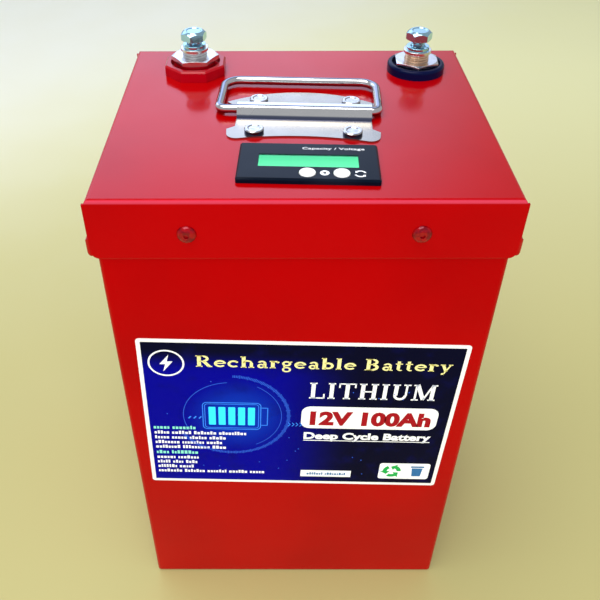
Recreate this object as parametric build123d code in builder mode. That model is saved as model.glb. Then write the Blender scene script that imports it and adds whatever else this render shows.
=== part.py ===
"""Sealed 12 volt deep cycle battery in a folded sheet-steel case.

Origin: middle of the footprint, on the surface that the battery stands on.
+X is to the right, +Y to the back, +Z up; the label faces -Y.
All lengths are in millimetres and all angles in degrees.
"""

import os

from build123d import *

os.makedirs("parts", exist_ok=True)

# ---------------------------------------------------------------- driving dimensions
LID_WIDTH = 200.0
LID_DEPTH = 175.0
HEIGHT = 312.0  # floor to the top of the lid
SHEET = 1.2
SKIRT = 32.0  # height of the lid's folded sides
EAR = 1.2  # how far the front and back folds stand past the side folds
BEND = 2.0
FIT = 0.1  # gap between pieces that only rest together

CASE_WIDTH = LID_WIDTH - 2 * (EAR + SHEET + FIT)
CASE_DEPTH = LID_DEPTH - 2 * (SHEET + FIT)
CASE_HEIGHT = HEIGHT - SHEET - FIT
CASE_CORNER = 2.5

LID_RIVET_X = 54.0
LID_RIVET_DROP = 18.0  # below the top of the lid
RIVET_HEAD = 4.6
RIVET_SHANK = 2.4

LABEL_SIZE = (176.0, 121.0, 0.25)
LABEL_Z = 164.7
LABEL_TILT = 1.7

HANDLE_AT = (1.9, -7.05)
HANDLE_TURN = -3.2
PLATE = 0.8
RIB_LENGTH = 70.6  # pressed rib that holds the handle's rod
RIB_FOOT = 6.3  # half of its width where it rises from the plate
RIB_CROWN = 2.9  # half of its width at the top
WIRE = 2.3  # radius of the handle's rod
PIVOT_V = 2.7  # pivot line, back from the middle of the plate
PIVOT_Z = 3.3  # pivot line, above the lid
BAIL_SHIFT = -3.2  # the loose rod sits to one side
BAIL_HALF = 42.2
BAIL_REACH = 36.6
HANDLE_RIVETS = (50.0, 35.2)

DISPLAY_AT = (2.4, -56.7)
DISPLAY_TURN = -2.4
BEZEL = (67.0, 34.5, 2.8)
NECK = (62.0, 32.0)
WINDOW = (47.3, 11.6)
BUTTON_R = 3.9
BUTTON_UV = ((-0.4, -11.1), (15.5, -11.1))

POSITIVE_AT = (-60.0, 55.5)
NEGATIVE_AT = (69.5, 56.0)
BARREL_R = 7.0
BARREL_BORE = 4.05
TERMINAL_NUT = 24.0  # across flats
BOLT_R = 4.0  # M8
BOLT_LENGTH = 20.0
BOLT_HEAD = (13.0, 5.2)  # across flats, height
M8_PITCH = 1.25

CELL = (36.7, 130.0, 195.5)
CELL_FILM_GAP = 1.0
CELL_TERMINAL_Y = 44.0
BASE_PAD = 8.0

INSIDE_X = CASE_WIDTH / 2 - SHEET
INSIDE_Y = CASE_DEPTH / 2 - SHEET
LID_UNDER = HEIGHT - SHEET

UPRIGHT = (Align.CENTER, Align.CENTER, Align.MIN)
HANGING = (Align.CENTER, Align.CENTER, Align.MAX)


# ---------------------------------------------------------------- shared shapes
def save(piece, name):
    """Label a finished piece and write it as its own file."""
    piece.part.label = name
    export_step(piece.part, f"parts/{name}.step")


def level(x, y, z, turn=0.0):
    """A horizontal plane at a point, turned about the vertical."""
    return Plane((x, y, z)).rotated((0, 0, turn))


def blind_rivet(grip):
    """Dome-headed blind rivet: head above z = 0, hollow, with its bulb under the grip."""
    with BuildPart() as rivet:
        with BuildSketch(Plane.XZ):
            with BuildLine():
                Polyline((1.2, 1.2), (1.2, 2.15), (2.2, 2.2))
                ThreePointArc((2.2, 2.2), (3.8, 1.5), (RIVET_HEAD, 0))
                Line((RIVET_HEAD, 0), (RIVET_SHANK, 0))
                Polyline((RIVET_SHANK, 0), (RIVET_SHANK, -grip), (3.5, -grip - 0.4))
                Polyline((3.5, -grip - 0.4), (3.3, -grip - 3), (0, -grip - 3.6))
                Polyline((0, -grip - 3.6), (0, 1.2), (1.2, 1.2))
            make_face()
        revolve(axis=Axis.Z)
    return rivet.part


def hex_nut(across, height, bore):
    """Hexagon nut on z = 0 with both faces chamfered, a flat to the front."""
    corner = across / 2 / 0.866
    with BuildPart() as nut:
        with BuildSketch():
            RegularPolygon(radius=across / 2, side_count=6, major_radius=False)
        extrude(amount=height)
        with BuildSketch(Plane.XZ):
            with BuildLine():
                Polyline((0, 0), (across / 2, 0), (corner, 0.5), (corner, height - 0.5))
                Polyline((corner, height - 0.5), (across / 2, height), (0, height), (0, 0))
            make_face()
        revolve(axis=Axis.Z, mode=Mode.INTERSECT)
        Hole(radius=bore)
    return nut.part


def ridged_rod(radius, length, pitch, depth):
    """Rod standing on z = 0 whose sides have ring-shaped thread ridges."""
    turns = int(length / pitch)
    outline = [(0, 0), (radius - depth, 0)]
    for turn in range(turns):
        outline.append((radius, (turn + 0.5) * pitch))
        outline.append((radius - depth, (turn + 1) * pitch))
    outline += [(radius - depth, length), (0, length), (0, 0)]
    outline = [p for p, q in zip(outline, outline[1:] + [None]) if p != q]
    with BuildPart() as rod:
        with BuildSketch(Plane.XZ):
            with BuildLine():
                Polyline(*outline)
            make_face()
        revolve(axis=Axis.Z)
    return rod.part


def tube_along(points, radii, radius):
    """Round solid along straight runs joined by tangent arcs."""
    with BuildPart() as tube:
        with BuildLine() as path:
            FilletPolyline(*points, radius=radii)
        start = path.line
        with BuildSketch(Plane(origin=start @ 0, z_dir=start % 0)):
            Circle(radius)
        sweep(path=path.line)
    return tube.part


# ---------------------------------------------------------------- case and lid
rivet_z = HEIGHT - LID_RIVET_DROP
side_width = LID_WIDTH - 2 * EAR
side_rivets = [Plane((s * side_width / 2, 0, rivet_z), z_dir=(s, 0, 0)) for s in (-1, 1)]
end_rivets = [Plane((x, s * LID_DEPTH / 2, rivet_z), z_dir=(0, s, 0))
              for s in (-1, 1) for x in (-LID_RIVET_X, LID_RIVET_X)]
rivet_planes = side_rivets + end_rivets

with BuildPart() as case_shell:
    with BuildSketch():
        RectangleRounded(CASE_WIDTH, CASE_DEPTH, CASE_CORNER)
    extrude(amount=CASE_HEIGHT)
    fillet(case_shell.faces().sort_by(Axis.Z)[0].edges(), radius=1.8)
    with BuildSketch(Plane.XY.offset(SHEET)):
        RectangleRounded(CASE_WIDTH - 2 * SHEET, CASE_DEPTH - 2 * SHEET, CASE_CORNER - SHEET)
    extrude(amount=CASE_HEIGHT, mode=Mode.SUBTRACT)
    with Locations(*rivet_planes):
        Cylinder(RIVET_SHANK + 0.05, 8, mode=Mode.SUBTRACT)
save(case_shell, "case_shell")

TAB = 9.5  # the folded tab on each front corner
TAB_BULGE = 3.1
tab_base = (side_width / 2, 0.2 - LID_DEPTH / 2, HEIGHT - SKIRT + 1.6)
with BuildPart() as corner_tab:
    with Locations(tab_base):
        Box(TAB_BULGE, TAB, TAB, align=(Align.MIN, Align.MIN, Align.MIN))
    fillet(corner_tab.faces().sort_by(Axis.X)[-1].edges(), radius=2.4)

with BuildPart() as lid:
    with BuildSketch(Plane.XY.offset(HEIGHT - SKIRT)):
        Rectangle(side_width, LID_DEPTH)
    extrude(amount=SKIRT)
    fillet(lid.faces().sort_by(Axis.Z)[-1].edges(), radius=BEND)
    with BuildSketch(Plane.XY.offset(HEIGHT - SKIRT)):
        Rectangle(side_width - 2 * SHEET, LID_DEPTH - 2 * SHEET)
    extrude(amount=SKIRT - SHEET, mode=Mode.SUBTRACT)
    # Clear the ends below the bend, to take the front and back folds.
    with BuildSketch(Plane.XY.offset(HEIGHT - SKIRT)):
        Rectangle(LID_WIDTH, LID_DEPTH)
        Rectangle(LID_WIDTH, LID_DEPTH - 2 * SHEET, mode=Mode.SUBTRACT)
    extrude(amount=SKIRT - BEND - SHEET, mode=Mode.SUBTRACT)
    low_corners = lid.edges().filter_by(Axis.X).group_by(Axis.Z)[0].filter_by(lambda e: e.length < 2)
    fillet(low_corners, radius=3.5)
    # The folds are wider than the sides and have rounded lower corners.
    for side in (-1, 1):
        fold_plane = Plane((0, side * LID_DEPTH / 2, HEIGHT - SKIRT), x_dir=(1, 0, 0), z_dir=(0, side, 0))
        with BuildSketch(fold_plane):
            with Locations((0, -side * (SKIRT - BEND) / 2)):
                Rectangle(LID_WIDTH, SKIRT - BEND)
        extrude(amount=-SHEET)
        outer = lid.edges().filter_by(Axis.Y).filter_by(
            lambda e: abs(e.center().X) > LID_WIDTH / 2 - 0.01 and e.center().Y * side > 0)
        fillet(outer.group_by(Axis.Z)[0], radius=4.5)
    add(corner_tab.part)
    mirror(corner_tab.part, about=Plane.YZ)
    with Locations(*rivet_planes):
        Cylinder(RIVET_SHANK + 0.05, 8, mode=Mode.SUBTRACT)
    with BuildSketch(level(*DISPLAY_AT, HEIGHT, DISPLAY_TURN)):
        RectangleRounded(NECK[0] + 0.4, NECK[1] + 0.4, 1)
    extrude(amount=-SHEET, mode=Mode.SUBTRACT)
    with BuildSketch(level(*HANDLE_AT, HEIGHT, HANDLE_TURN)):
        with GridLocations(*HANDLE_RIVETS, 2, 2):
            Circle(RIVET_SHANK + 0.1)
    extrude(amount=-SHEET, mode=Mode.SUBTRACT)
    with BuildSketch(Plane.XY.offset(HEIGHT)):
        with Locations(POSITIVE_AT, NEGATIVE_AT):
            Circle(10)
    extrude(amount=-SHEET, mode=Mode.SUBTRACT)
save(lid, "lid")

lid_rivet = blind_rivet(grip=2 * SHEET + FIT)
with BuildPart() as lid_rivets:
    with Locations(*rivet_planes):
        add(lid_rivet)
save(lid_rivets, "lid_rivets")

label_across = Vector(1, 0, 0).rotate(Axis.Y, LABEL_TILT)  # the right end sits lower
with BuildPart() as front_label:
    with BuildSketch(Plane((0, -CASE_DEPTH / 2, LABEL_Z), x_dir=label_across, z_dir=(0, -1, 0))):
        RectangleRounded(LABEL_SIZE[0], LABEL_SIZE[1], 2)
    extrude(amount=LABEL_SIZE[2])
save(front_label, "front_label")

# ---------------------------------------------------------------- carrying handle
handle_plane = level(*HANDLE_AT, HEIGHT, HANDLE_TURN)
half_rib = RIB_LENGTH / 2
rib_end = handle_plane.from_local_coords(Vector(-half_rib, PIVOT_V, 0))
rib_section = Plane(rib_end, x_dir=handle_plane.y_dir, z_dir=handle_plane.x_dir)
rib_height = PIVOT_Z + WIRE + FIT + PLATE
flank = (RIB_FOOT - RIB_CROWN) / rib_height  # sideways for each millimetre up
foot_inside = RIB_FOOT - PLATE * (1 + flank**2) ** 0.5
roof = rib_height - PLATE
crown_inside = foot_inside - roof * flank

with BuildPart() as handle_plate:
    # The rear edge bows out between two pointed horns; the front edge dips between two rounded lobes.
    with BuildSketch(handle_plane):
        with BuildLine():
            rear = ThreePointArc((-42, 16.2), (0, 30), (40, 16.2))
            Polyline(rear @ 1, (half_rib, 9.5), (half_rib, -12.2), (39.4, -15.4), (38.4, -26.5))
            ThreePointArc((38.4, -26.5), (0, -21.2), (-38.4, -26.5))
            Polyline((-38.4, -26.5), (-39.4, -15.4), (-half_rib, -12.2), (-half_rib, 9.5), rear @ 0)
        make_face()
    extrude(amount=PLATE)
    uprights = handle_plate.edges().filter_by(Axis.Z)
    lobe_corners = [e for e in uprights if handle_plane.to_local_coords(e.center()).Y < -25]
    fillet(lobe_corners, radius=5)
    with BuildSketch(rib_section):
        with BuildLine():
            Polyline((-RIB_FOOT, 0), (-RIB_CROWN, rib_height), (RIB_CROWN, rib_height), (RIB_FOOT, 0))
            Line((RIB_FOOT, 0), (-RIB_FOOT, 0))
        make_face()
    extrude(amount=RIB_LENGTH)
    crown = handle_plate.faces().sort_by(Axis.Z)[-1].edges().sort_by(SortBy.LENGTH)[-2:]
    fillet(crown, radius=1.8)
    with BuildSketch(rib_section):
        with BuildLine():
            Polyline((-foot_inside, 0), (-crown_inside, roof), (crown_inside, roof), (foot_inside, 0))
            Line((foot_inside, 0), (-foot_inside, 0))
        make_face()
    extrude(amount=RIB_LENGTH, mode=Mode.SUBTRACT)
    with BuildSketch(handle_plane):
        with GridLocations(*HANDLE_RIVETS, 2, 2):
            Circle(RIVET_SHANK + 0.1)
    extrude(amount=PLATE, mode=Mode.SUBTRACT)
save(handle_plate, "handle_plate")

grip = PLATE + SHEET
with BuildPart() as handle_rivet:
    with BuildSketch(Plane.XZ):
        with BuildLine():
            Polyline((0, 1.8), (2.8, 1.8), (3.4, 2.2), (4.5, 2.2), (5, 1.7), (5, 0), (RIVET_SHANK, 0))
            Polyline((RIVET_SHANK, 0), (RIVET_SHANK, -grip), (4, -grip), (3.4, -grip - 1.4))
            Polyline((3.4, -grip - 1.4), (0, -grip - 1.8), (0, 1.8))
        make_face()
    revolve(axis=Axis.Z)

with BuildPart() as handle_rivets:
    with Locations(level(*HANDLE_AT, HEIGHT + PLATE, HANDLE_TURN)):
        with GridLocations(*HANDLE_RIVETS, 2, 2):
            add(handle_rivet.part)
save(handle_rivets, "handle_rivets")

PIVOT_BEND = 3.6  # middle of the rod, where its arms turn into the rib
CORNER_BEND = 9.0
bail_left = BAIL_SHIFT - BAIL_HALF
bail_right = BAIL_SHIFT + BAIL_HALF
bail_points = [(bail_left + 15, PIVOT_V), (bail_left, PIVOT_V), (bail_left, PIVOT_V + BAIL_REACH),
               (bail_right, PIVOT_V + BAIL_REACH), (bail_right, PIVOT_V), (bail_right - 15, PIVOT_V)]
bail_path = [handle_plane.from_local_coords(Vector(u, v, PIVOT_Z)) for u, v in bail_points]
with BuildPart() as handle_bail:
    add(tube_along(bail_path, [PIVOT_BEND, CORNER_BEND, CORNER_BEND, PIVOT_BEND], WIRE))
save(handle_bail, "handle_bail")

# ---------------------------------------------------------------- capacity display
display_plane = level(*DISPLAY_AT, HEIGHT, DISPLAY_TURN)
FACE = 1.5  # thickness of the bezel's face
face_under = BEZEL[2] - FACE

with BuildPart() as display_bezel:
    with BuildSketch(display_plane):
        RectangleRounded(BEZEL[0], BEZEL[1], 1.2)
    extrude(amount=BEZEL[2])
    chamfer(display_bezel.faces().sort_by(Axis.Z)[-1].edges(), length=0.9)
    with BuildSketch(display_plane):
        RectangleRounded(NECK[0], NECK[1], 0.9)
    extrude(amount=-13)
    with BuildSketch(display_plane.offset(-13)):
        Rectangle(NECK[0] - 2, NECK[1] - 2)
    extrude(amount=13 + face_under, mode=Mode.SUBTRACT)
    with BuildSketch(display_plane.offset(face_under)):
        Rectangle(*WINDOW)
        with Locations(*BUTTON_UV):
            Circle(BUTTON_R + 0.3)
    extrude(amount=FACE, mode=Mode.SUBTRACT)
save(display_bezel, "display_bezel")

with BuildPart() as display_window:
    with BuildSketch(display_plane.offset(face_under)):
        Rectangle(WINDOW[0] - 0.1, WINDOW[1] - 0.1)
    extrude(amount=FACE - 0.3)
save(display_window, "display_window")

# Under the face, from the top down: liquid crystal panel, backlight, circuit board.
layers = (("display_panel", (52, 13.6), face_under, 2.6),
          ("display_backlight", (52, 13.6), face_under - 2.6, 2.4),
          ("display_board", (59, 29), face_under - 5, 1.6))
for name, size, top, thickness in layers:
    with BuildPart() as layer:
        with BuildSketch(display_plane.offset(top)):
            Rectangle(*size)
        extrude(amount=-thickness)
    save(layer, name)

board_top = face_under - 5
with BuildPart() as display_switches:
    with BuildSketch(display_plane.offset(board_top)):
        with Locations(*BUTTON_UV):
            Rectangle(6, 6)
    extrude(amount=3.2)
    with BuildSketch(display_plane.offset(board_top + 3.2)):
        with Locations(*BUTTON_UV):
            Circle(1.7)
    extrude(amount=0.5)
save(display_switches, "display_switches")

with BuildPart() as display_connector:
    with BuildSketch(display_plane.offset(board_top - 1.6)):
        with Locations((-18, 8)):
            Rectangle(7.5, 5.8)
    extrude(amount=-6)
save(display_connector, "display_connector")

BUTTON_FOOT = board_top + 3.7 + 0.45  # rests this far above the switch
for name, place in zip(("select_button", "mode_button"), BUTTON_UV):
    with BuildPart() as button:
        with BuildSketch(display_plane.offset(BUTTON_FOOT)):
            with Locations(place):
                Circle(BUTTON_R)
        extrude(amount=BEZEL[2] + 0.5 - BUTTON_FOOT)
        fillet(button.faces().sort_by(Axis.Z)[-1].edges(), radius=0.45)
        with BuildSketch(display_plane.offset(BUTTON_FOOT)):
            with Locations(place):
                Rectangle(10.4, 5)
        extrude(amount=face_under - 0.15 - BUTTON_FOOT)
    save(button, name)

# ---------------------------------------------------------------- terminals
NECK_DOWN = 5.8  # insulator neck below the lid's top face
LUG = 2.0
BARREL_BASE = 288.0
BUSH_UNDER = 301.0

# Positive: eight-sided insulator. Negative: round one, a little lower.
with BuildPart() as positive_insulator:
    with BuildSketch(Plane((*POSITIVE_AT, HEIGHT))):
        RegularPolygon(radius=17.3, side_count=8, major_radius=False, rotation=22.5)
    extrude(amount=6.2)
    fillet(positive_insulator.edges().filter_by(Axis.Z), radius=1.5)
    chamfer(positive_insulator.faces().sort_by(Axis.Z)[-1].edges(), length=0.9)
    with Locations((*POSITIVE_AT, HEIGHT + 6.2)):
        Cylinder(14.4, 4, align=HANGING, mode=Mode.SUBTRACT)
    with Locations((*POSITIVE_AT, HEIGHT - NECK_DOWN)):
        Cylinder(9.8, NECK_DOWN + 1, align=UPRIGHT)
    with Locations((*POSITIVE_AT, HEIGHT + 2)):
        Cylinder(11, 5, align=UPRIGHT)
    with Locations((*POSITIVE_AT, HEIGHT - NECK_DOWN)):
        Cylinder(BARREL_R + 0.1, 20, align=UPRIGHT, mode=Mode.SUBTRACT)
save(positive_insulator, "positive_insulator")

with BuildPart() as negative_insulator:
    with Locations((*NEGATIVE_AT, HEIGHT)):
        Cylinder(16.6, 5.2, align=UPRIGHT)
    fillet(negative_insulator.faces().sort_by(Axis.Z)[-1].edges(), radius=1.6)
    with Locations((*NEGATIVE_AT, HEIGHT + 5.2)):
        Cylinder(14, 2.6, align=HANGING, mode=Mode.SUBTRACT)
    with Locations((*NEGATIVE_AT, HEIGHT - NECK_DOWN)):
        Cylinder(9.8, NECK_DOWN + 1, align=UPRIGHT)
    with Locations((*NEGATIVE_AT, HEIGHT + 2)):
        Cylinder(11, 2, align=UPRIGHT)
    with Locations((*NEGATIVE_AT, HEIGHT - NECK_DOWN)):
        Cylinder(BARREL_R + 0.1, 20, align=UPRIGHT, mode=Mode.SUBTRACT)
save(negative_insulator, "negative_insulator")

with BuildPart() as lower_bushes:
    with Locations((*POSITIVE_AT, BUSH_UNDER), (*NEGATIVE_AT, BUSH_UNDER)):
        Cylinder(15, LID_UNDER - BUSH_UNDER, align=UPRIGHT)
        Cylinder(BARREL_R + 0.1, 20, align=UPRIGHT, mode=Mode.SUBTRACT)
    with Locations((*POSITIVE_AT, HEIGHT - NECK_DOWN), (*NEGATIVE_AT, HEIGHT - NECK_DOWN)):
        Cylinder(9.9, 20, align=UPRIGHT, mode=Mode.SUBTRACT)
save(lower_bushes, "lower_bushes")

POSITIVE_NUT_Z = HEIGHT + 7.0
NEGATIVE_NUT_Z = HEIGHT + 4.0
upper_nut = hex_nut(TERMINAL_NUT, 3.0, BARREL_R + 0.05)
with BuildPart() as terminal_nuts:
    with Locations(level(*POSITIVE_AT, POSITIVE_NUT_Z, 3), level(*NEGATIVE_AT, NEGATIVE_NUT_Z, 27)):
        add(upper_nut)
save(terminal_nuts, "terminal_nuts")

lower_nut = hex_nut(21.0, 6.0, BARREL_R + 0.05)
with BuildPart() as inner_nuts:
    with Locations(*[(*at, BUSH_UNDER - LUG - 6) for at in (POSITIVE_AT, NEGATIVE_AT)]):
        add(lower_nut)
save(inner_nuts, "inner_nuts")

POSITIVE_SEAT = HEIGHT + 13.0  # top of each barrel, where the washers rest
NEGATIVE_SEAT = HEIGHT + 11.2
SPRING = 1.8
stacks = (
    ("positive", POSITIVE_AT, POSITIVE_SEAT, HEIGHT + 18.8, 19.0),
    ("negative", NEGATIVE_AT, NEGATIVE_SEAT, HEIGHT + 18.4, 0.0),
)
for side, at, seat, head_under, head_turn in stacks:
    with BuildPart() as barrel:
        with Locations((*at, BARREL_BASE)):
            add(ridged_rod(BARREL_R, seat - BARREL_BASE, 1.5, 0.45))
        with Locations((*at, seat)):
            Cylinder(BARREL_BORE, 25, align=HANGING, mode=Mode.SUBTRACT)
    save(barrel, f"{side}_barrel")

    with BuildPart() as flat_washer:
        with Locations((*at, seat)):
            Cylinder(8, 1.6, align=UPRIGHT)
        fillet(flat_washer.faces().sort_by(Axis.Z)[-1].edges(), radius=0.3)
        with Locations((*at, seat)):
            Cylinder(BOLT_R + 0.3, 5, align=UPRIGHT, mode=Mode.SUBTRACT)
    save(flat_washer, f"{side}_flat_washer")

    # Split ring: a slanted gap at one side.
    with BuildPart() as spring_washer:
        with Locations((*at, seat + 1.6)):
            Cylinder(6.6, SPRING, align=UPRIGHT)
        fillet(spring_washer.faces().sort_by(Axis.Z)[-1].edges(), radius=0.3)
        with Locations((*at, seat + 1.6)):
            Cylinder(BOLT_R + 0.3, 5, align=UPRIGHT, mode=Mode.SUBTRACT)
        with Locations(Location((at[0] + 4.6, at[1] - 3.2, seat + 1.6 + SPRING / 2), (0, 35, -35))):
            Box(4.5, 1.0, 6, mode=Mode.SUBTRACT)
    save(spring_washer, f"{side}_spring_washer")

    with BuildPart() as bolt:
        with BuildSketch(Plane((*at, head_under))):
            RegularPolygon(radius=BOLT_HEAD[0] / 2, side_count=6, major_radius=False, rotation=head_turn)
        extrude(amount=BOLT_HEAD[1])
        with BuildSketch(Plane((*at, head_under), x_dir=(1, 0, 0), z_dir=(0, -1, 0))):
            with BuildLine():
                Polyline((0, 0), (6.9, 0), (7.6, 0.4), (7.6, 3.3), (6.2, 4.6), (5.1, BOLT_HEAD[1]))
                Polyline((5.1, BOLT_HEAD[1]), (4.3, BOLT_HEAD[1]), (3.7, 4.8), (0, 4.8), (0, 0))
            make_face()
        revolve(axis=Axis((*at, 0), (0, 0, 1)), mode=Mode.INTERSECT)
        with Locations((*at, head_under - BOLT_LENGTH)):
            add(ridged_rod(BOLT_R, BOLT_LENGTH, M8_PITCH, 0.5))
    save(bolt, f"{side}_bolt")

# ---------------------------------------------------------------- cell pack
pitch = CELL[0] + CELL_FILM_GAP
cell_x = [(i - 1.5) * pitch for i in range(4)]
cell_base = SHEET + BASE_PAD
cell_top = cell_base + CELL[2]
POST = 3.0  # height of the terminal pads on a cell
bar_base = cell_top + POST
BAR = 2.0

with BuildPart() as base_pad:
    with BuildSketch(Plane.XY.offset(SHEET)):
        RectangleRounded(2 * INSIDE_X - 4, 2 * INSIDE_Y - 4, 4)
    extrude(amount=BASE_PAD)
save(base_pad, "base_pad")

for number, x in enumerate(cell_x, start=1):
    with BuildPart() as cell:
        with BuildSketch(Plane.XY.offset(cell_base)):
            with Locations((x, 0)):
                RectangleRounded(CELL[0], CELL[1], 3)
        extrude(amount=CELL[2])
        with Locations(*[(x, y, cell_top) for y in (-CELL_TERMINAL_Y, CELL_TERMINAL_Y)]):
            Cylinder(8, POST, align=UPRIGHT)
            Cylinder(2.95, POST + BAR + 6.5, align=UPRIGHT)
        with Locations((x, 0, cell_top)):
            Cylinder(6, 0.6, align=UPRIGHT)
    save(cell, f"cell_{number}")

posts = [(x, y) for x in cell_x for y in (-CELL_TERMINAL_Y, CELL_TERMINAL_Y)]
cell_nut = hex_nut(10.0, 5.0, 3.0)
with BuildPart() as cell_nuts:
    with Locations(*[(x, y, bar_base + BAR) for x, y in posts]):
        add(cell_nut)
save(cell_nuts, "cell_nuts")

links = ((0, -CELL_TERMINAL_Y), (1, CELL_TERMINAL_Y), (2, -CELL_TERMINAL_Y))
with BuildPart() as busbars:
    for first, y in links:
        middle = (cell_x[first] + cell_x[first + 1]) / 2
        with BuildSketch(Plane((middle, y, bar_base))):
            SlotCenterToCenter(pitch, 17)
            with GridLocations(pitch, 1, 2, 1):
                Circle(3.1, mode=Mode.SUBTRACT)
        extrude(amount=BAR)
save(busbars, "busbars")

with BuildPart() as cell_spacers:
    with Locations(*[((a + b) / 2, 0, cell_base) for a, b in zip(cell_x, cell_x[1:])]):
        Box(CELL_FILM_GAP, CELL[1] - 4, CELL[2] - 2, align=UPRIGHT)
save(cell_spacers, "cell_spacers")

stack_half = cell_x[-1] + CELL[0] / 2
END_PLATE = 5.0
BOARD_Z = 222.0
with BuildPart() as end_plates:
    with Locations(*[(s * (stack_half + END_PLATE / 2), 0, cell_base) for s in (-1, 1)]):
        Box(END_PLATE, CELL[1], BOARD_Z - cell_base, align=UPRIGHT)
save(end_plates, "end_plates")

STRAP = 0.8
strap_x = stack_half + END_PLATE
strap_y = CELL[1] / 2
with BuildPart() as pack_straps:
    for z in (55.0, 150.0):
        with BuildSketch(Plane.XY.offset(z)):
            Rectangle(2 * (strap_x + STRAP), 2 * (strap_y + STRAP))
            Rectangle(2 * strap_x, 2 * strap_y, mode=Mode.SUBTRACT)
        extrude(amount=12)
save(pack_straps, "pack_straps")

PAD_HEIGHT = 180.0
with BuildPart() as side_pads:
    inner = strap_x + STRAP + 0.2
    with Locations(*[(s * (inner + INSIDE_X - 0.3) / 2, 0, cell_base) for s in (-1, 1)]):
        Box(INSIDE_X - 0.3 - inner, 120, PAD_HEIGHT, align=UPRIGHT)
save(side_pads, "side_pads")

with BuildPart() as front_back_pads:
    inner = strap_y + STRAP + 0.2
    with Locations(*[(0, s * (inner + INSIDE_Y - 0.3) / 2, cell_base) for s in (-1, 1)]):
        Box(150, INSIDE_Y - 0.3 - inner, PAD_HEIGHT, align=UPRIGHT)
save(front_back_pads, "front_back_pads")

# ---------------------------------------------------------------- battery management
BOARD = 3.0
LEAD_R = 4.6  # thick silicone leads
LEAD_X = (cell_x[0], cell_x[-1])
with BuildPart() as insulating_board:
    with BuildSketch(Plane.XY.offset(BOARD_Z)):
        RectangleRounded(2 * strap_x, CELL[1] + 4, 3)
        with Locations(*[(x, 6) for x in LEAD_X]):
            RectangleRounded(20, 36, 5, mode=Mode.SUBTRACT)
    extrude(amount=BOARD)
save(insulating_board, "insulating_board")

BMS = (76.0, 100.0, 14.0)
BMS_X = -8.0
BMS_Y = -12.0
bms_z = BOARD_Z + BOARD
bms_top = bms_z + BMS[2]
BMS_STUDS = ((23.0, 0.0), (23.0, -30.0))
with BuildPart() as bms_module:
    with Locations((BMS_X, BMS_Y, bms_z)):
        Box(*BMS, align=UPRIGHT)
    fillet(bms_module.edges().filter_by(Axis.Z), radius=3)
    with Locations(*[(x, y, bms_top) for x, y in BMS_STUDS]):
        Cylinder(7, 2, align=UPRIGHT)
        Cylinder(2.95, 10, align=UPRIGHT)
    with BuildSketch(Plane.XY.offset(bms_top)):
        with Locations((BMS_X, BMS_Y)):
            with GridLocations(BMS[0] - 8, BMS[1] - 8, 2, 2):
                Circle(2)
    extrude(amount=-BMS[2], mode=Mode.SUBTRACT)
save(bms_module, "bms_module")

with BuildPart() as bms_heat_sink:
    with Locations((-19, BMS_Y, bms_top)):
        Box(44, 82, 3, align=UPRIGHT)
        with GridLocations(6, 1, 8, 1):
            Box(1.6, 82, 13, align=UPRIGHT)
save(bms_heat_sink, "bms_heat_sink")

with BuildPart() as bms_screws:
    with BuildSketch(Plane.XY.offset(bms_top)):
        with Locations((BMS_X, BMS_Y)):
            with GridLocations(BMS[0] - 8, BMS[1] - 8, 2, 2):
                Circle(3.4)
    extrude(amount=2.4)
    fillet(bms_screws.faces().group_by(Axis.Z)[-1].edges(), radius=1)
    with BuildSketch(Plane.XY.offset(bms_top)):
        with Locations((BMS_X, BMS_Y)):
            with GridLocations(BMS[0] - 8, BMS[1] - 8, 2, 2):
                Circle(1.95)
    extrude(amount=-BMS[2])
save(bms_screws, "bms_screws")

bms_nut = hex_nut(10.0, 4.0, 3.0)
stud_lug_z = bms_top + 2
with BuildPart() as bms_nuts:
    with Locations(*[(x, y, stud_lug_z + LUG) for x, y in BMS_STUDS]):
        add(bms_nut)
save(bms_nuts, "bms_nuts")


LUG_TUBE = LEAD_R + 0.7


def ring_lug(bore, ring, reach):
    """Crimp lug: ring at the origin on z = 0, with its tube pointing along +X from `reach`."""
    with BuildPart() as lug:
        with BuildSketch():
            Circle(ring)
            with Locations((reach / 2, 0)):
                Rectangle(reach, 9)
            Circle(bore, mode=Mode.SUBTRACT)
        extrude(amount=LUG)
        with BuildSketch(Plane((reach - 0.5, 0, LUG_TUBE), z_dir=(1, 0, 0))):
            Circle(LUG_TUBE)
        extrude(amount=2)
        with BuildSketch(Plane((reach + 1.5, 0, LUG_TUBE), z_dir=(1, 0, 0))):
            Circle(LUG_TUBE)
            Circle(LEAD_R + 0.02, mode=Mode.SUBTRACT)
        extrude(amount=9)
    return lug.part


LUG_LENGTH = 1.5  # from a lug's reach to the end of the lead inside it
m6_lug = ring_lug(3.1, 7.5, 13)
barrel_lug = ring_lug(BARREL_R + 0.1, 11, 17)
with BuildPart() as cable_lugs:
    with Locations(*[level(x, CELL_TERMINAL_Y, bar_base, -90) for x in LEAD_X]):
        add(m6_lug)
    with Locations(*[(x, y, stud_lug_z) for x, y in BMS_STUDS]):
        add(m6_lug)
    # The lugs under the lid hang their tubes below the ring.
    hung = [Plane((*at, BUSH_UNDER), x_dir=(0, -1, 0), z_dir=(0, 0, -1)) for at in (POSITIVE_AT, NEGATIVE_AT)]
    with Locations(*hung):
        add(barrel_lug)
save(cable_lugs, "cable_lugs")

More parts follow.
